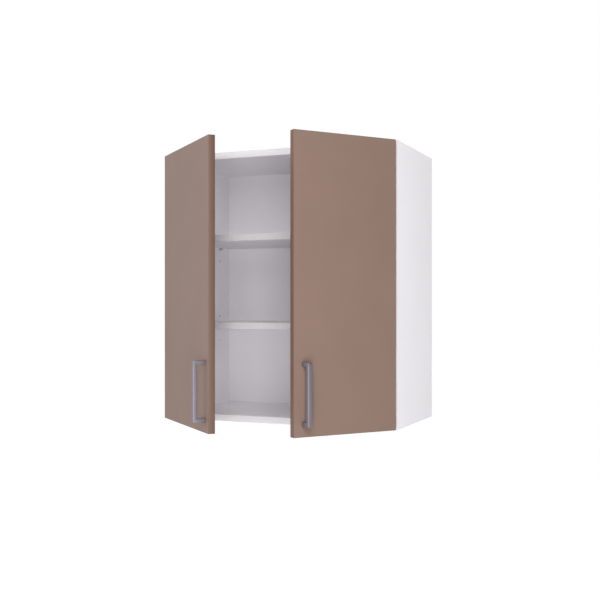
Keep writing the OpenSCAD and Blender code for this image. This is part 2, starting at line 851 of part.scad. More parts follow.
module lug_outline() {
    translate([cup_edge, -cup_depth]) square([lug_w - cup_edge - 1.5, cup_depth]);
}

module cup_pins(s) {
    color(steel_colour) with_door(s) for (z = hinge_levels) translate([0, 0, z]) {
        at_plan(cup_inner, -inner_lug[1]) cylinder(h = 2 * inner_lug[1], r = pivot_r);
        at_plan(cup_outer, -outer_lug[1]) cylinder(h = 2 * outer_lug[1], r = pivot_r);
    }
}

module cup_screws(s) {
    color(steel_colour) with_door(s)
        for (z = hinge_levels, k = [-1, 1])
            translate([cup_x + cup_screw_offset, 0, z + k * cup_screw_centres / 2])
                difference() {
                    union() {
                        rod_y(0.5 - cup_screw_len, flange_t, cup_screw_d);
                        rod_y(flange_t, flange_t + cup_screw_head_h, cup_screw_head_d);
                    }
                    cross_slot(flange_t + cup_screw_head_h, cup_screw_d);
                }
}

side_panel(left);  // side_left
side_panel(right);  // side_right
top_panel();
bottom_panel();
back_panel();
shelf(shelf_levels[upper]);  // shelf_upper
shelf(shelf_levels[lower]);  // shelf_lower
carcass_edge_bands();
shelf_edge_bands();
door(left);  // door_left
door(right);  // door_right
door_edge_bands(left);  // door_edge_bands_left
door_edge_bands(right);  // door_edge_bands_right
handle(left);  // handle_left
handle(right);  // handle_right
handle_screws(left);  // handle_screws_left
handle_screws(right);  // handle_screws_right
bumpers(left);  // bumpers_left
bumpers(right);  // bumpers_right
shelf_pins(shelf_levels[upper]);  // shelf_pins_upper
shelf_pins(shelf_levels[lower]);  // shelf_pins_lower
cams();
cam_bolts();
dowels();
back_nails();
hanger_plate(left);  // hanger_plate_left
hanger_plate(right);  // hanger_plate_right
hanger_screws();
hinge_plate(left, upper);  // hinge_plate_left_upper
hinge_plate(left, lower);  // hinge_plate_left_lower
hinge_plate(right, upper);  // hinge_plate_right_upper
hinge_plate(right, lower);  // hinge_plate_right_lower
hinge_arm(left, upper);  // hinge_arm_left_upper
hinge_arm(left, lower);  // hinge_arm_left_lower
hinge_arm(right, upper);  // hinge_arm_right_upper
hinge_arm(right, lower);  // hinge_arm_right_lower
hinge_cup(left, upper);  // hinge_cup_left_upper
hinge_cup(left, lower);  // hinge_cup_left_lower
hinge_cup(right, upper);  // hinge_cup_right_upper
hinge_cup(right, lower);  // hinge_cup_right_lower
inner_link(left, upper);  // inner_link_left_upper
inner_link(left, lower);  // inner_link_left_lower
inner_link(right, upper);  // inner_link_right_upper
inner_link(right, lower);  // inner_link_right_lower
outer_link(left, upper);  // outer_link_left_upper
outer_link(left, lower);  // outer_link_left_lower
outer_link(right, upper);  // outer_link_right_upper
outer_link(right, lower);  // outer_link_right_lower
plate_screws();
arm_screws();
arm_pins();
cup_screws(left);  // cup_screws_left
cup_screws(right);  // cup_screws_right
cup_pins(left);  // cup_pins_left
cup_pins(right);  // cup_pins_right
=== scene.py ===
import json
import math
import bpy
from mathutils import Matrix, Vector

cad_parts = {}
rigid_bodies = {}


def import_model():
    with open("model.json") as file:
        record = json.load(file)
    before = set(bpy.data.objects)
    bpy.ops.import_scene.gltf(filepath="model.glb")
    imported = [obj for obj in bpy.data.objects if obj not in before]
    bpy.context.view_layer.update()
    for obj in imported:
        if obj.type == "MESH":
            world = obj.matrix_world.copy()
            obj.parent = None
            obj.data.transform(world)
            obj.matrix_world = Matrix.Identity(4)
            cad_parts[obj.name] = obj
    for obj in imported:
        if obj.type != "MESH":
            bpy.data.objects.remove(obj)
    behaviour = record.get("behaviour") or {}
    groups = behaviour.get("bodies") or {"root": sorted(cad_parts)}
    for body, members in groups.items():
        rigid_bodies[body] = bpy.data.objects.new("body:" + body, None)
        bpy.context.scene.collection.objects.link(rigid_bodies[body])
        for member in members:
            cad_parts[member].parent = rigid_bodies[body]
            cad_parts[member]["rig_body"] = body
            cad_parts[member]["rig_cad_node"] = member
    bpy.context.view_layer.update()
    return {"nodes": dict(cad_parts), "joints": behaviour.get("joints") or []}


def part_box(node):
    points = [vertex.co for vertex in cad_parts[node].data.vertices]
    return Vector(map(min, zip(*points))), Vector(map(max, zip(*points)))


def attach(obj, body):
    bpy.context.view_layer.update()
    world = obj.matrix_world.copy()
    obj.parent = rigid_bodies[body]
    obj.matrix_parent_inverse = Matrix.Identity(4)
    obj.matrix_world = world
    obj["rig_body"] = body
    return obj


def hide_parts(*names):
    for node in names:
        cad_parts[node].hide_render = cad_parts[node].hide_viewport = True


bl_info = {
    "name": "Wall Cabinet with Two Doors",
    "version": (1, 0, 0),
    "blender": (4, 5, 0),
    "location": "3D View > Sidebar > Wall Cabinet",
    "description": "Dresses a hung kitchen cabinet: white boards, matt mocha doors, "
                   "bow handles and cup hinges",
    "category": "Object",
}

import bmesh
import bpy
from mathutils import Matrix, Vector

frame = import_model()
MM = 0.001
WHITE = (1.0, 1.0, 1.0, 1.0)

# Planes of the carcass, read from its own boards
(INNER_X, BOARD_Y, BOTTOM_Z), (OUTER_X, REAR_Y, TOP_Z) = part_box("side_right")
BOARD_T = OUTER_X - INNER_X
FRONT_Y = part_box("carcass_edge_bands")[0].y
BACK_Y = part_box("back_panel")[0].y

# A closed door, measured from the pin that carries it: along the door, and into the cabinet
PIN_FROM_EDGE = 7.5 * MM
DOOR_BACK_Y = 1.6 * MM
DOOR_T = 16 * MM
DOOR_FACE_Y = DOOR_BACK_Y - DOOR_T
DOOR_BAND_T = 1 * MM
DOOR_W = {"left": 332 * MM, "right": 262 * MM}
DOOR_LOW, DOOR_HIGH = (corner.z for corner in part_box("door_edge_bands_left"))
OPEN_DEGREES = {"left": 42, "right": 52}

# A bow handle: a square bar between two legs, upright near the free edge of its door
HANDLE_FROM_EDGE = 24 * MM
HANDLE_BAR = 10 * MM
HANDLE_REACH = 29 * MM
HANDLE_INNER_CORNER = 1.5 * MM

# A bumper: a clear dome stuck to the back of a door, near its free edge
BUMPER_FROM_EDGE = 22 * MM
BUMPER_R = 4 * MM
BUMPER_T = 1.6 * MM
BUMPER_DOME = 1.35 * MM

# The camera, fitted to the photo's straight edges; its turn is in degrees, its lens in millimetres
CAMERA_PLACE = (0.93543, -2.33449, -0.33327)
CAMERA_TURN = 23.28
CAMERA_LENS = 56.04
CAMERA_SHIFT = 0.0105
SENSOR_WIDTH = 36.0

# The studio: name, place, width, height and watts of each softbox, and the point they all face
SOFTBOXES = (
    ("low_softbox", (0.97, -2.27, -1.0), 1.0, 1.0, 41.0),
    ("high_softbox", (0.97, -2.27, 0.65), 1.0, 1.0, 50.0),
    ("fill_softbox", (-1.85, -2.15, 0.3), 1.2, 1.6, 25.0),
)
SOFTBOX_AIM = Vector((0, -0.2, -0.3))
FLOOR_SPAN = 60

# Points closer than this share a place
NEAR = 0.01 * MM


def linear(hex_colour):
    """An sRGB hex colour as the linear colour that a shader takes."""
    out = []
    for at in (1, 3, 5):
        value = int(hex_colour[at:at + 2], 16) / 255
        out.append(value / 12.92 if value <= 0.04045 else ((value + 0.055) / 1.055) ** 2.4)
    return (*out, 1.0)


class WallCabinetSizes(bpy.types.PropertyGroup):
    """The roundings, which the solids of the frame don't have, and the height of the floor"""
    band_round: bpy.props.FloatProperty(
        name="Band rounding", description="Radius on the long edges of an edge band",
        default=0.35 * MM, min=0.1 * MM, max=0.7 * MM, subtype="DISTANCE", unit="LENGTH")
    door_round: bpy.props.FloatProperty(
        name="Door rounding", description="Radius on the edges of a door",
        default=0.9 * MM, min=0.2 * MM, max=2 * MM, subtype="DISTANCE", unit="LENGTH")
    handle_corner: bpy.props.FloatProperty(
        name="Handle corner", description="Outer radius where the bar of a handle meets its legs",
        default=4 * MM, min=1 * MM, max=6 * MM, subtype="DISTANCE", unit="LENGTH")
    handle_round: bpy.props.FloatProperty(
        name="Handle rounding", description="Radius on the long edges of a handle",
        default=1.1 * MM, min=0.3 * MM, max=3 * MM, subtype="DISTANCE", unit="LENGTH")
    pressed_round: bpy.props.FloatProperty(
        name="Pressed edge", description="Radius on the edges of the pressed steel of a hinge",
        default=0.18 * MM, min=0.05 * MM, max=0.4 * MM, subtype="DISTANCE", unit="LENGTH")
    floor_drop: bpy.props.FloatProperty(
        name="Floor", description="Distance from the underside of the cabinet to the floor",
        default=1.4, min=0.3, max=2.0, subtype="DISTANCE", unit="LENGTH")


class WallCabinetColours(bpy.types.PropertyGroup):
    """The colours of the finishes"""
    board: bpy.props.FloatVectorProperty(
        name="Boards", description="White melamine of the boards",
        default=linear("#DEDBDF")[:3], size=3, subtype="COLOR", min=0, max=1)
    # The bands' white is dulled to mid-grey: painted shade of the front edges
    band: bpy.props.FloatVectorProperty(
        name="Edge bands", description="White plastic of the edge bands",
        default=linear("#AAA6A9")[:3], size=3, subtype="COLOR", min=0, max=1)
    door: bpy.props.FloatVectorProperty(
        name="Doors", description="Matt mocha decor of the doors",
        default=linear("#665248")[:3], size=3, subtype="COLOR", min=0, max=1)
    # The bands' mocha is the plastic's own; their extra darkness over the door faces is painted
    # shade of the door edges
    door_band: bpy.props.FloatVectorProperty(
        name="Door bands", description="Mocha plastic round the doors, darker than their faces",
        default=linear("#50392D")[:3], size=3, subtype="COLOR", min=0, max=1)
    handle: bpy.props.FloatVectorProperty(
        name="Handles", description="Satin grey plating of the handles",
        default=linear("#716C73")[:3], size=3, subtype="COLOR", min=0, max=1)


def wire(owner, node, values=None, links=None):
    """Sets a node's values and joins what feeds it: a node's first output, or (node, output)."""
    for socket, value in (values or {}).items():
        node.inputs[socket].default_value = value
    for socket, source in (links or {}).items():
        giver, output = source if isinstance(source, tuple) else (source, 0)
        owner.node_tree.links.new(giver.outputs[output], node.inputs[socket])


def add(owner, kind, values=None, links=None, stops=(), **settings):
    """A node of a material or of the world; stops are the (place, colour) pairs of a ramp."""
    node = owner.node_tree.nodes.new(kind)
    for name, value in settings.items():
        setattr(node, name, value)
    if stops:
        marks = node.color_ramp.elements
        marks.remove(marks[-1])
        marks[0].position, marks[0].color = stops[0]
        for position, colour in stops[1:]:
            marks.new(position).color = colour
    wire(owner, node, values, links)
    return node


def new_material(name):
    """A material, its principled shader, and the object coordinates of the piece that wears it."""
    if name in bpy.data.materials:
        raise RuntimeError("the frame already has a material named %s" % name)
    material = bpy.data.materials.new(name)
    material.use_nodes = True
    place = (add(material, "ShaderNodeTexCoord"), "Object")
    return material, material.node_tree.nodes["Principled BSDF"], place


def shade_of(colour, factor):
    """A colour made paler or darker, with nothing see-through."""
    return (*[min(1.0, channel * factor) for channel in colour[:3]], 1.0)


def melamine_faced_chipboard(colour):
    # Melamine cured against a pearled press plate: an even matt white with a fine pearl.
    # Where a saw or a drill opens the board, its pale chips show.
    material, shader, place = new_material("melamine_faced_chipboard")
    at = add(material, "ShaderNodeSeparateXYZ", links={0: place})
    across = add(material, "ShaderNodeMath", links={0: (at, "X")}, operation="ABSOLUTE")
    skin = 0.25 * MM
    inside = None
    for source, operation, limit in (
            (across, "GREATER_THAN", INNER_X + skin),
            (across, "LESS_THAN", OUTER_X - skin),
            ((at, "Z"), "GREATER_THAN", BOTTOM_Z + skin),
            ((at, "Z"), "LESS_THAN", TOP_Z - skin),
            ((at, "Y"), "GREATER_THAN", BOARD_Y + skin)):
        test = add(material, "ShaderNodeMath", {1: limit}, {0: source}, operation=operation)
        inside = test if inside is None else add(
            material, "ShaderNodeMath", links={0: inside, 1: test}, operation="MULTIPLY")
    sawn = add(material, "ShaderNodeMath", {1: REAR_Y - skin}, {0: (at, "Y")},
               operation="GREATER_THAN")
    core = add(material, "ShaderNodeMath", links={0: inside, 1: sawn}, operation="MAXIMUM")
    # Chips are 1 to 4 mm long: cells of 2.5 mm, each point moved by up to 1.5 mm
    bend = add(material, "ShaderNodeTexNoise", {"Scale": 300.0, "Detail": 2.0}, {"Vector": place})
    bent = add(material, "ShaderNodeVectorMath", {"Scale": 1.5 * MM}, {0: (bend, "Color")},
               operation="SCALE")
    moved = add(material, "ShaderNodeVectorMath", links={0: place, 1: bent}, operation="ADD")
    chips = add(material, "ShaderNodeTexVoronoi", {"Scale": 400.0}, {"Vector": moved})
    tone = add(material, "ShaderNodeSeparateColor", links={0: (chips, "Color")})
    wood = add(material, "ShaderNodeValToRGB", links={0: tone}, stops=[
        (0.0, linear("#7F6243")), (0.35, linear("#B1905F")),
        (0.7, linear("#CDB184")), (1.0, linear("#E0CDA8"))])
    # The pearl of the plate is 0.3 mm wide; drawn at 2.5 mm, so that it shows from a step away
    pearl = add(material, "ShaderNodeTexNoise", {"Scale": 400.0, "Detail": 3.0, "Roughness": 0.6},
                {"Vector": place})
    # The white wanders by 2.5 percent, in clouds of 140 mm
    cloud = add(material, "ShaderNodeTexNoise", {"Scale": 7.0, "Detail": 2.0}, {"Vector": place})
    white = add(material, "ShaderNodeValToRGB", links={0: cloud}, stops=[
        (0.3, shade_of(colour, 0.985)), (0.7, shade_of(colour, 1.01))])
    speck = add(material, "ShaderNodeValToRGB", links={0: pearl}, stops=[
        (0.35, shade_of(WHITE, 0.965)), (0.65, WHITE)])
    paper = add(material, "ShaderNodeMix", {"Factor": 1.0}, {6: white, 7: speck},
                data_type="RGBA", blend_type="MULTIPLY")
    face = add(material, "ShaderNodeMix", links={0: core, 6: (paper, 2), 7: wood},
               data_type="RGBA")
    gloss = add(material, "ShaderNodeMapRange", {"To Min": 0.58, "To Max": 0.9}, {"Value": core})
    bump = add(material, "ShaderNodeBump", {"Strength": 0.12, "Distance": 0.05 * MM},
               {"Height": pearl})
    wire(material, shader, {"IOR": 1.5},
         {"Base Color": (face, 2), "Roughness": gloss, "Normal": bump})


def extruded_edge_band(name, colour, roughness):
    # Plastic band extruded and glued on, then scraped: smoother than the board, with faint
    # scraper lines 1.1 mm apart
    material, shader, place = new_material(name)
    stretch = add(material, "ShaderNodeMapping", {"Scale": (900.0, 900.0, 25.0)},
                  {"Vector": place})
    lines = add(material, "ShaderNodeTexNoise", {"Scale": 1.0, "Detail": 2.0},
                {"Vector": stretch})
    tint = add(material, "ShaderNodeValToRGB", links={0: lines}, stops=[
        (0.3, shade_of(colour, 0.975)), (0.7, shade_of(colour, 1.01))])
    gloss = add(material, "ShaderNodeMapRange",
                {"To Min": roughness - 0.05, "To Max": roughness + 0.05}, {"Value": lines})
    bump = add(material, "ShaderNodeBump", {"Strength": 0.08, "Distance": 0.03 * MM},
               {"Height": lines})
    wire(material, shader, {"IOR": 1.5}, {"Base Color": tint, "Roughness": gloss, "Normal": bump})


def matt_mocha_decor(colour):
    # Printed decor paper under matt resin: one warm grey-brown with a soft cloud of 110 mm
    # and a fine dry texture
    material, shader, place = new_material("matt_mocha_decor")
    cloud = add(material, "ShaderNodeTexNoise", {"Scale": 9.0, "Detail": 4.0, "Roughness": 0.55},
                {"Vector": place})
    # The press plate leaves pores of 0.2 mm; drawn at 1.6 mm, so that they show from a step away
    pores = add(material, "ShaderNodeTexNoise", {"Scale": 620.0, "Detail": 2.0, "Roughness": 0.5},
                {"Vector": place})
    soft = add(material, "ShaderNodeValToRGB", links={0: cloud}, stops=[
        (0.3, shade_of(colour, 0.965)), (0.7, shade_of(colour, 1.03))])
    dots = add(material, "ShaderNodeValToRGB", links={0: pores}, stops=[
        (0.3, shade_of(WHITE, 0.93)), (0.6, WHITE)])
    face = add(material, "ShaderNodeMix", {"Factor": 1.0}, {6: soft, 7: dots},
               data_type="RGBA", blend_type="MULTIPLY")
    gloss = add(material, "ShaderNodeMapRange", {"To Min": 0.52, "To Max": 0.64},
                {"Value": pores})
    bump = add(material, "ShaderNodeBump", {"Strength": 0.15, "Distance": 0.04 * MM},
               {"Height": pores})
    wire(material, shader, {"IOR": 1.48},
         {"Base Color": (face, 2), "Roughness": gloss, "Normal": bump})


def lacquered_hardboard(colour):
    # Wet-laid hardboard, lacquered white on the room side; its edges and the side that faces
    # the wall stay brown felt, in clumps of 4 mm
    material, shader, place = new_material("lacquered_hardboard")
    at = add(material, "ShaderNodeSeparateXYZ", links={0: place})
    lacquer = 0.15 * MM
    rear = add(material, "ShaderNodeMath", {1: BACK_Y + lacquer}, {0: (at, "Y")},
               operation="GREATER_THAN")
    fibres = add(material, "ShaderNodeTexNoise", {"Scale": 260.0, "Detail": 5.0, "Roughness": 0.7},
                 {"Vector": place})
    brown = add(material, "ShaderNodeValToRGB", links={0: fibres}, stops=[
        (0.3, linear("#6E4F33")), (0.55, linear("#8C6A47")), (0.75, linear("#A5825B"))])
    # Rolled lacquer: an orange peel of 1.4 mm
    peel = add(material, "ShaderNodeTexNoise", {"Scale": 700.0, "Detail": 1.0}, {"Vector": place})
    white = add(material, "ShaderNodeValToRGB", links={0: peel}, stops=[
        (0.35, shade_of(colour, 0.89)), (0.65, shade_of(colour, 0.93))])
    face = add(material, "ShaderNodeMix", links={0: rear, 6: white, 7: brown}, data_type="RGBA")
    gloss = add(material, "ShaderNodeMapRange", {"To Min": 0.42, "To Max": 0.92}, {"Value": rear})
    bump = add(material, "ShaderNodeBump", {"Strength": 0.2, "Distance": 0.05 * MM},
               {"Height": fibres})
    wire(material, shader, links={"Base Color": (face, 2), "Roughness": gloss, "Normal": bump})


def satin_plated_zinc(colour):
    # Die-cast zinc, brushed along its length and plated: a soft grey metal with upright lines.
    # The lines are 0.1 mm apart; drawn at 0.5 mm, so that they show.
    material, shader, place = new_material("satin_plated_zinc")
    stretch = add(material, "ShaderNodeMapping", {"Scale": (2000.0, 2000.0, 30.0)},
                  {"Vector": place})
    lines = add(material, "ShaderNodeTexNoise", {"Scale": 1.0, "Detail": 3.0},
                {"Vector": stretch})
    tint = add(material, "ShaderNodeValToRGB", links={0: lines}, stops=[
        (0.3, shade_of(colour, 0.9)), (0.7, shade_of(colour, 1.06))])
    gloss = add(material, "ShaderNodeMapRange", {"To Min": 0.5, "To Max": 0.62}, {"Value": lines})
    bump = add(material, "ShaderNodeBump", {"Strength": 0.15, "Distance": 0.02 * MM},
               {"Height": lines})
    wire(material, shader, {"Metallic": 0.8},
         {"Base Color": tint, "Roughness": gloss, "Normal": bump})


def worked_metal(name, dark, pale, roughness, grain):
    # A plated or cast metal: its tone and its gloss wander with its grain, which is counted in
    # patches per metre
    material, shader, place = new_material(name)
    noise = add(material, "ShaderNodeTexNoise", {"Scale": grain, "Detail": 4.0, "Roughness": 0.6},
                {"Vector": place})
    tint = add(material, "ShaderNodeValToRGB", links={0: noise}, stops=[
        (0.3, linear(dark)), (0.7, linear(pale))])
    gloss = add(material, "ShaderNodeMapRange",
                {"To Min": roughness - 0.06, "To Max": roughness + 0.06}, {"Value": noise})
    bump = add(material, "ShaderNodeBump", {"Strength": 0.12, "Distance": 0.03 * MM},
               {"Height": noise})
    wire(material, shader, {"Metallic": 1.0},
         {"Base Color": tint, "Roughness": gloss, "Normal": bump})


def turned_beech():
    # Beech dowel rod, turned and fluted: pale pink-brown with dark flecks 17 mm long and 1.1 mm
    # wide along the grain
    material, shader, place = new_material("turned_beech")
    stretch = add(material, "ShaderNodeMapping", {"Scale": (60.0, 900.0, 900.0)},
                  {"Vector": place})
    grain = add(material, "ShaderNodeTexNoise", {"Scale": 1.0, "Detail": 3.0},
                {"Vector": stretch})
    tint = add(material, "ShaderNodeValToRGB", links={0: grain}, stops=[
        (0.3, linear("#B98F62")), (0.7, linear("#DDBB8E"))])
    wire(material, shader, {"Roughness": 0.7}, {"Base Color": tint})


def cast_polyurethane():
    # Soft clear polyurethane, cast as a dome: milky in patches of 2 mm, with a wet shine
    material, shader, place = new_material("cast_polyurethane")
    haze = add(material, "ShaderNodeTexNoise", {"Scale": 500.0, "Detail": 2.0}, {"Vector": place})
    tint = add(material, "ShaderNodeValToRGB", links={0: haze}, stops=[
        (0.3, linear("#D3D4D6")), (0.7, linear("#E4E5E7"))])
    reach = 2 * MM
    wire(material, shader, {"Roughness": 0.18, "IOR": 1.5, "Subsurface Weight": 0.3,
                            "Subsurface Radius": (reach, reach, reach)}, {"Base Color": tint})


def opal_acrylic_floor():
    # Opal acrylic, cast and frosted, lit from below: it shines evenly by itself, so that the
    # cabinet throws no shadow on it, and sends back little of the softboxes, so that the
    # underside keeps its shade. Its mottle is 330 mm wide and barely there.
    material, shader, place = new_material("opal_acrylic_floor")
    mottle = add(material, "ShaderNodeTexNoise", {"Scale": 3.0, "Detail": 2.0}, {"Vector": place})
    tint = add(material, "ShaderNodeValToRGB", links={0: mottle}, stops=[
        (0.3, linear("#959596")), (0.7, linear("#989899"))])
    wire(material, shader, {"Roughness": 0.9, "Specular IOR Level": 0.1,
                            "Emission Color": WHITE, "Emission Strength": 0.76},
         {"Base Color": tint})


def dress(obj, material):
    """Gives an object one material, in place of those it has."""
    obj.data.materials.clear()
    obj.data.materials.append(bpy.data.materials[material])


def dress_nodes(material, *nodes):
    """Gives the solids of the frame that stay in view their finish."""
    for node in nodes:
        dress(frame["nodes"][node], material)


def clear_selection():
    if bpy.context.object is not None and bpy.context.object.mode != "OBJECT":
        bpy.ops.object.mode_set(mode="OBJECT")
    bpy.ops.object.select_all(action="DESELECT")


def pick(obj):
    """Makes an object the only one selected, and the active one."""
    clear_selection()
    obj.select_set(True)
    bpy.context.view_layer.objects.active = obj


def rename(obj, name):
    obj.name = obj.data.name = name


def apply_place():
    """Moves the selected pieces' place, turn and size into their meshes."""
    bpy.ops.object.transform_apply(location=True, rotation=True, scale=True)


def box_piece(name, low, high):
    """A box between two corners, with its place in its mesh."""
    clear_selection()
    low, high = Vector(low), Vector(high)
    bpy.ops.mesh.primitive_cube_add(size=1, location=(low + high) / 2, scale=high - low)
    apply_place()
    obj = bpy.context.object
    rename(obj, name)
    return obj


def is_near(value, *targets):
    return any(abs(value - target) < NEAR for target in targets)


def select_faces(obj, chosen):
    """Selects in edit mode the faces that chosen(face) picks."""
    bpy.ops.mesh.select_mode(type="FACE")
    bpy.ops.mesh.select_all(action="DESELECT")
    mesh = bmesh.from_edit_mesh(obj.data)
    mesh.normal_update()
    for face in mesh.faces:
        face.select_set(chosen(face))
    bmesh.update_edit_mesh(obj.data)


def round_edges(obj, width, segments, chosen):
    """Bevels in edit mode the edges that chosen(edge) picks."""
    pick(obj)
    bpy.ops.object.mode_set(mode="EDIT")
    bpy.ops.mesh.select_mode(type="EDGE")
    bpy.ops.mesh.select_all(action="DESELECT")
    mesh = bmesh.from_edit_mesh(obj.data)
    for edge in mesh.edges:
        edge.select_set(chosen(edge))
    bmesh.update_edit_mesh(obj.data)
    bpy.ops.mesh.bevel(offset=width, segments=segments, affect="EDGES", clamp_overlap=True)
    bpy.ops.object.mode_set(mode="OBJECT")


def round_sharp_edges(obj, width, segments):
    """Rounds with a modifier every edge that turns by more than 40 degrees."""
    pick(obj)
    bevel = obj.modifiers.new("rounded edges", "BEVEL")
    bevel.limit_method = "ANGLE"
    bevel.angle_limit = math.radians(40)
    bevel.width = width
    bevel.segments = segments
    bevel.use_clamp_overlap = True
    bpy.ops.object.modifier_apply(modifier=bevel.name)


def smooth(obj, degrees=35):
    """Smooth shading, except over edges that turn by more than this."""
    pick(obj)
    bpy.ops.object.shade_smooth_by_angle(angle=math.radians(degrees))
    return obj


def joined(pieces, name):
    """One piece made of several."""
    clear_selection()
    for piece in pieces:
        piece.select_set(True)
    bpy.context.view_layer.objects.active = pieces[0]
    bpy.ops.object.join()
    obj = bpy.context.object
    rename(obj, name)
    return obj


def joint_place(name):
    for joint in frame["joints"]:
        if joint["name"] == name:
            return Vector(joint["pos_m"])
    raise RuntimeError("no joint is named %s" % name)


def door_x(side, along):
    """X of a point of a closed door, counted from its pin; along runs from the hinged edge."""
    return (along - PIN_FROM_EDGE) * (1 if side == "left" else -1)


def hang(obj, side):
    """Turns a piece of a closed door round the pin at the origin, and takes it to its place."""
    pick(obj)
    pin = joint_place("door_%s_swing" % side)
    angle = math.radians(OPEN_DEGREES[side]) * (-1 if side == "left" else 1)
    obj.rotation_euler = (0, 0, angle)
    obj.location = (pin.x, pin.y, 0)
    apply_place()


def refined(node, name, width):
    """A welded copy of a node's solid, with its sharp edges rounded."""
    source = frame["nodes"][node]
    obj = source.copy()
    obj.data = source.data.copy()
    obj.parent = None
    obj.matrix_world = Matrix.Identity(4)
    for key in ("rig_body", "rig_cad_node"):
        if key in obj:
            del obj[key]
    bpy.context.scene.collection.objects.link(obj)
    rename(obj, name)
    # The solid is loose triangles: its points are merged, and its flat sides made whole
    pick(obj)
    bpy.ops.object.mode_set(mode="EDIT")
    bpy.ops.mesh.select_all(action="SELECT")
    bpy.ops.mesh.remove_doubles(threshold=0.004 * MM)
    bpy.ops.mesh.dissolve_limited(angle_limit=math.radians(0.6))
    bpy.ops.object.mode_set(mode="OBJECT")
    round_sharp_edges(obj, width, 2)
    return smooth(obj, 30)


def settle(obj, body, material, node):
    """Dresses a finished piece, hands it to its body and lets it stand for its node."""
    dress(obj, material)
    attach(obj, body)
    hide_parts(node)


def glue_bands(boxes, front, name, node, width):
    """Bands in the given boxes, rounded along their front edges and joined to one piece."""
    strips = [box_piece("strip", low, high) for low, high in boxes]
    for strip in strips:
        round_edges(strip, width, 3, lambda edge: all(is_near(v.co.y, front) for v in edge.verts))
    settle(smooth(joined(strips, name)), "cabinet", "white_band_with_painted_shade", node)


def extrude_faces(obj, chosen, move):
    select_faces(obj, chosen)
    bpy.ops.mesh.extrude_region_move(TRANSFORM_OT_translate={"value": move})


def crosses_bar(edge, y, *heights):
    """Whether an edge of a handle runs across it at this depth and at one of these heights."""
    a, b = edge.verts
    return abs(a.co.x - b.co.x) > HANDLE_BAR / 2 and all(
        is_near(v.co.y, y) and is_near(v.co.z, *heights) for v in edge.verts)


class WALLCAB_OT_materials(bpy.types.Operator):
    """Makes the materials of the cabinet"""
    bl_idname = "wallcab.materials"
    bl_label = "Materials"

    def execute(self, context):
        colours = context.scene.wallcab_colours
        melamine_faced_chipboard(tuple(colours.board))
        # The white bands take the greyed colour: painted shade of the front edges of the boards
        # and shelves
        extruded_edge_band("white_band_with_painted_shade", tuple(colours.band), roughness=0.34)
        # The mocha bands take a darker colour than the doors: painted shade of the door edges
        extruded_edge_band("mocha_band_with_painted_shade", tuple(colours.door_band), roughness=0.5)
        matt_mocha_decor(tuple(colours.door))
        lacquered_hardboard(tuple(colours.board))
        satin_plated_zinc(tuple(colours.handle))
        worked_metal("zinc_plated_screw_steel", "#B4B8BE", "#D2D5DA", roughness=0.28, grain=900.0)
        worked_metal("nickel_plated_pressed_steel", "#B9B4AA", "#D8D4CB",
                     roughness=0.24, grain=260.0)
        worked_metal("die_cast_zinc", "#94959A", "#ABACB0", roughness=0.42, grain=1400.0)
        turned_beech()
        cast_polyurethane()
        opal_acrylic_floor()
        return {"FINISHED"}


class WALLCAB_OT_stage(bpy.types.Operator):
    """Lays the floor, sets the soft light and places the camera"""
    bl_idname = "wallcab.stage"
    bl_label = "Stage"

    def execute(self, context):
        scene = context.scene
        clear_selection()
        bpy.ops.mesh.primitive_plane_add(
            size=FLOOR_SPAN, location=(0, 0, BOTTOM_Z - scene.wallcab_sizes.floor_drop))
        apply_place()
        floor = bpy.context.object
        rename(floor, "floor")
        dress(floor, "opal_acrylic_floor")

        world = bpy.data.worlds.new("white_studio")
        scene.world = world
        world.use_nodes = True
        sky = world.node_tree.nodes["Background"]
        # A white room: a bright backdrop stands behind the cabinet, and a grey screen at its
        # right, which no view shows, keeps the side panel from burning out
        way = add(world, "ShaderNodeTexCoord")
        part = add(world, "ShaderNodeSeparateXYZ", links={0: (way, "Generated")})
        backdrop = add(world, "ShaderNodeMapRange", {"From Min": 0.5, "From Max": 0.75},
                       {"Value": (part, "Y")})
        screen = add(world, "ShaderNodeMapRange",
                     {"From Min": 0.1, "From Max": 0.5, "To Min": 1.0, "To Max": 0.12},
                     {"Value": (part, "X")})
        glow = add(world, "ShaderNodeMix", {3: 1.0}, {0: backdrop, 2: screen})
        path = add(world, "ShaderNodeLightPath")
        shown = add(world, "ShaderNodeMix", {3: 1.0}, {0: (path, "Is Camera Ray"), 2: glow})
        wire(world, sky, {"Color": WHITE}, {"Strength": shown})

        for name, place, wide, tall, power in SOFTBOXES:
            light = bpy.data.lights.new(name, "AREA")
            light.shape = "RECTANGLE"
            light.size, light.size_y = wide, tall
            light.energy = power
            lamp = bpy.data.objects.new(name, light)
            scene.collection.objects.link(lamp)
            lamp.location = place
            facing = SOFTBOX_AIM - Vector(place)
            lamp.rotation_euler = facing.to_track_quat("-Z", "Y").to_euler()

        lens = bpy.data.cameras.new("photo_view")
        camera = bpy.data.objects.new("photo_view", lens)
        scene.collection.objects.link(camera)
        lens.sensor_width = SENSOR_WIDTH
        lens.lens = CAMERA_LENS
        lens.shift_y = CAMERA_SHIFT
        lens.clip_start, lens.clip_end = 0.05, 100
        camera.location = CAMERA_PLACE
        camera.rotation_euler = (math.radians(90), 0, math.radians(CAMERA_TURN))
        scene.camera = camera
        scene.view_settings.view_transform = "Standard"
        return {"FINISHED"}


class WALLCAB_OT_boards(bpy.types.Operator):
    """Dresses the boards of the carcass, its shelves and its back"""
    bl_idname = "wallcab.boards"
    bl_label = "Boards"

    def execute(self, context):
        dress_nodes("melamine_faced_chipboard", "side_left", "side_right", "top_panel",
                    "bottom_panel", "shelf_upper", "shelf_lower")
        dress_nodes("lacquered_hardboard", "back_panel")
        return {"FINISHED"}


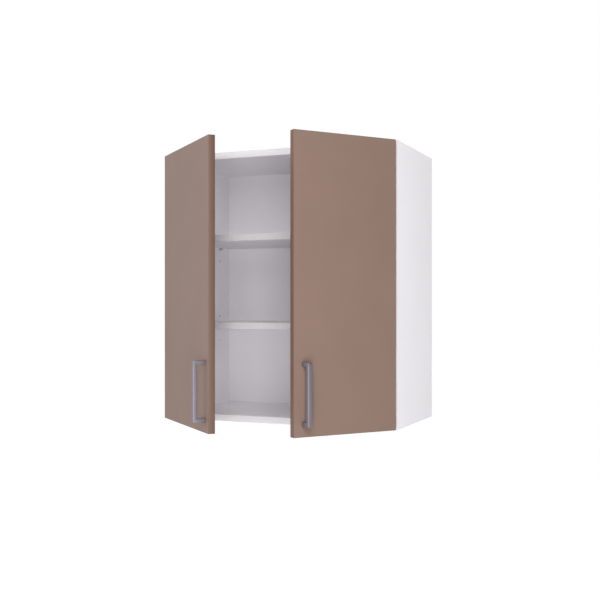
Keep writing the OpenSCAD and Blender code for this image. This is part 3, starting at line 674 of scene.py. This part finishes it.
class WALLCAB_OT_edge_bands(bpy.types.Operator):
    """Models the bands glued to the front edges of the boards and the shelves"""
    bl_idname = "wallcab.edge_bands"
    bl_label = "Edge bands"

    def execute(self, context):
        width = context.scene.wallcab_sizes.band_round
        # The bands of the top and the bottom stop just short of the bands of the sides
        gap = 0.05 * MM
        boxes = []
        for low_x, high_x in ((-OUTER_X, -INNER_X), (INNER_X, OUTER_X)):
            boxes.append(((low_x, FRONT_Y, BOTTOM_Z), (high_x, BOARD_Y, TOP_Z)))
        for low_z in (BOTTOM_Z, TOP_Z - BOARD_T):
            boxes.append(((gap - INNER_X, FRONT_Y, low_z),
                          (INNER_X - gap, BOARD_Y, low_z + BOARD_T)))
        glue_bands(boxes, FRONT_Y, "front_edge_bands", "carcass_edge_bands", width)

        band_low, band_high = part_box("shelf_edge_bands")
        boxes = []
        for node in ("shelf_lower", "shelf_upper"):
            low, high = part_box(node)
            boxes.append(((low.x, band_low.y, low.z), (high.x, band_high.y, high.z)))
        glue_bands(boxes, band_low.y, "shelf_front_bands", "shelf_edge_bands", width)
        return {"FINISHED"}


class WALLCAB_OT_doors(bpy.types.Operator):
    """Models the bands round the doors and dresses their boards"""
    bl_idname = "wallcab.doors"
    bl_label = "Doors"

    def execute(self, context):
        width = context.scene.wallcab_sizes.door_round
        for side in ("left", "right"):
            # One ring: the front and the back of a box are inset, and a hole bridges the insets
            left, right = sorted((door_x(side, 0), door_x(side, DOOR_W[side])))
            ring = box_piece("ring", (left, DOOR_FACE_Y, DOOR_LOW),
                             (right, DOOR_BACK_Y, DOOR_HIGH))
            pick(ring)
            bpy.ops.object.mode_set(mode="EDIT")
            select_faces(ring, lambda face: abs(face.normal.y) > 0.9)
            bpy.ops.mesh.inset(thickness=DOOR_BAND_T, depth=0, use_even_offset=True,
                               use_individual=True)
            bpy.ops.mesh.bridge_edge_loops()
            bpy.ops.object.mode_set(mode="OBJECT")
            round_edges(ring, width, 3, lambda edge: all(
                is_near(v.co.x, left, right) or is_near(v.co.z, DOOR_LOW, DOOR_HIGH)
                for v in edge.verts))
            hang(ring, side)
            rename(ring, "door_banding_" + side)
            settle(smooth(ring), "door_" + side, "mocha_band_with_painted_shade",
                   "door_edge_bands_" + side)
            dress_nodes("matt_mocha_decor", "door_" + side)
        return {"FINISHED"}


class WALLCAB_OT_handles(bpy.types.Operator):
    """Models the bow handles: a leg, the bar and the other leg in one run, rounded all over"""
    bl_idname = "wallcab.handles"
    bl_label = "Handles"

    def execute(self, context):
        sizes = context.scene.wallcab_sizes
        front = DOOR_FACE_Y - HANDLE_REACH
        inner = front + HANDLE_BAR
        for side in ("left", "right"):
            low, high = (corner.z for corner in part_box("handle_" + side))
            leg_low, leg_high = low + HANDLE_BAR, high - HANDLE_BAR
            middle = door_x(side, DOOR_W[side] - HANDLE_FROM_EDGE)
            obj = box_piece("leg", (middle - HANDLE_BAR / 2, inner, low),
                            (middle + HANDLE_BAR / 2, DOOR_FACE_Y, leg_low))
            pick(obj)
            bpy.ops.object.mode_set(mode="EDIT")

            def bar_end(face):
                return face.normal.z > 0.9 and face.calc_center_median().y < inner

            def leg_root(face):
                return face.normal.y > 0.9 and face.calc_center_median().z > leg_high

            extrude_faces(obj, lambda face: face.normal.y < -0.9, (0, -HANDLE_BAR, 0))
            extrude_faces(obj, bar_end, (0, 0, leg_high - leg_low))
            extrude_faces(obj, bar_end, (0, 0, HANDLE_BAR))
            extrude_faces(obj, leg_root, (0, HANDLE_REACH - HANDLE_BAR, 0))
            bpy.ops.mesh.select_all(action="SELECT")
            bpy.ops.mesh.dissolve_limited(angle_limit=math.radians(1))
            bpy.ops.object.mode_set(mode="OBJECT")
            round_edges(obj, sizes.handle_corner, 6,
                        lambda edge: crosses_bar(edge, front, low, high))
            round_edges(obj, HANDLE_INNER_CORNER, 4,
                        lambda edge: crosses_bar(edge, inner, leg_low, leg_high))
            round_sharp_edges(obj, sizes.handle_round, 3)
            hang(obj, side)
            rename(obj, "bow_handle_" + side)
            settle(smooth(obj), "door_" + side, "satin_plated_zinc", "handle_" + side)
            dress_nodes("zinc_plated_screw_steel", "handle_screws_" + side)
        return {"FINISHED"}


class WALLCAB_OT_bumpers(bpy.types.Operator):
    """Models the clear domed pads behind the free corners of the doors"""
    bl_idname = "wallcab.bumpers"
    bl_label = "Bumpers"

    def execute(self, context):
        top_y = DOOR_BACK_Y + BUMPER_T
        for side in ("left", "right"):
            pads = []
            x = door_x(side, DOOR_W[side] - BUMPER_FROM_EDGE)
            for z in (BOTTOM_Z + BOARD_T / 2, TOP_Z - BOARD_T / 2):
                clear_selection()
                bpy.ops.mesh.primitive_cylinder_add(
                    vertices=32, radius=BUMPER_R, depth=BUMPER_T,
                    rotation=(math.radians(90), 0, 0), location=(x, top_y - BUMPER_T / 2, z))
                apply_place()
                pad = bpy.context.object
                round_edges(pad, BUMPER_DOME, 5, lambda edge: all(
                    is_near(v.co.y, top_y) for v in edge.verts))
                pads.append(pad)
            obj = joined(pads, "bumper_pads_" + side)
            hang(obj, side)
            settle(smooth(obj, 60), "door_" + side, "cast_polyurethane", "bumpers_" + side)
        return {"FINISHED"}


class WALLCAB_OT_hinges(bpy.types.Operator):
    """Rounds the pressed edges of the hinges and dresses their pins and screws"""
    bl_idname = "wallcab.hinges"
    bl_label = "Hinges"

    def execute(self, context):
        width = context.scene.wallcab_sizes.pressed_round
        steel = "nickel_plated_pressed_steel"
        for side in ("left", "right"):
            for level in ("upper", "lower"):
                where = "%s_%s" % (side, level)
                for node, name, body, material in (
                        ("hinge_plate_", "mounting_plate_", "cabinet", "die_cast_zinc"),
                        ("hinge_arm_", "pressed_arm_", "cabinet", steel),
                        ("hinge_cup_", "drawn_cup_", "door_" + side, steel),
                        ("inner_link_", "long_link_", "inner_links_" + side, steel),
                        ("outer_link_", "hooked_link_", "outer_links_" + side, steel)):
                    settle(refined(node + where, name + where, width), body, material,
                           node + where)
        dress_nodes("zinc_plated_screw_steel", "plate_screws", "arm_screws", "arm_pins",
                    "cup_screws_left", "cup_screws_right", "cup_pins_left", "cup_pins_right")
        return {"FINISHED"}


class WALLCAB_OT_fittings(bpy.types.Operator):
    """Dresses the cams, bolts, dowels, nails, shelf pins and hangers"""
    bl_idname = "wallcab.fittings"
    bl_label = "Fittings"

    def execute(self, context):
        dress_nodes("zinc_plated_screw_steel", "cam_bolts", "back_nails", "hanger_screws",
                    "shelf_pins_upper", "shelf_pins_lower", "hanger_plate_left",
                    "hanger_plate_right")
        dress_nodes("die_cast_zinc", "cams")
        dress_nodes("turned_beech", "dowels")
        return {"FINISHED"}


class WALLCAB_PT_panel(bpy.types.Panel):
    """Lists the sizes and colours of the cabinet and the steps that dress it"""
    bl_idname = "WALLCAB_PT_panel"
    bl_label = "Wall Cabinet"
    bl_space_type = "VIEW_3D"
    bl_region_type = "UI"
    bl_category = "Wall Cabinet"

    def draw(self, context):
        layout = self.layout
        for group in (context.scene.wallcab_sizes, context.scene.wallcab_colours):
            box = layout.box()
            for name in group.bl_rna.properties.keys():
                if name not in ("rna_type", "name"):
                    box.prop(group, name)
        for step in STEPS:
            layout.operator(step.bl_idname)


STEPS = (
    WALLCAB_OT_materials,
    WALLCAB_OT_stage,
    WALLCAB_OT_boards,
    WALLCAB_OT_edge_bands,
    WALLCAB_OT_doors,
    WALLCAB_OT_handles,
    WALLCAB_OT_bumpers,
    WALLCAB_OT_hinges,
    WALLCAB_OT_fittings,
)
CLASSES = (WallCabinetSizes, WallCabinetColours, *STEPS, WALLCAB_PT_panel)


def register():
    for item in CLASSES:
        bpy.utils.register_class(item)
    bpy.types.Scene.wallcab_sizes = bpy.props.PointerProperty(type=WallCabinetSizes)
    bpy.types.Scene.wallcab_colours = bpy.props.PointerProperty(type=WallCabinetColours)


def unregister():
    del bpy.types.Scene.wallcab_colours
    del bpy.types.Scene.wallcab_sizes
    for item in reversed(CLASSES):
        bpy.utils.unregister_class(item)


def main():
    register()
    bpy.ops.wallcab.materials()
    bpy.ops.wallcab.stage()
    bpy.ops.wallcab.boards()
    bpy.ops.wallcab.edge_bands()
    bpy.ops.wallcab.doors()
    bpy.ops.wallcab.handles()
    bpy.ops.wallcab.bumpers()
    bpy.ops.wallcab.hinges()
    bpy.ops.wallcab.fittings()


if __name__ == "__main__":
    main()
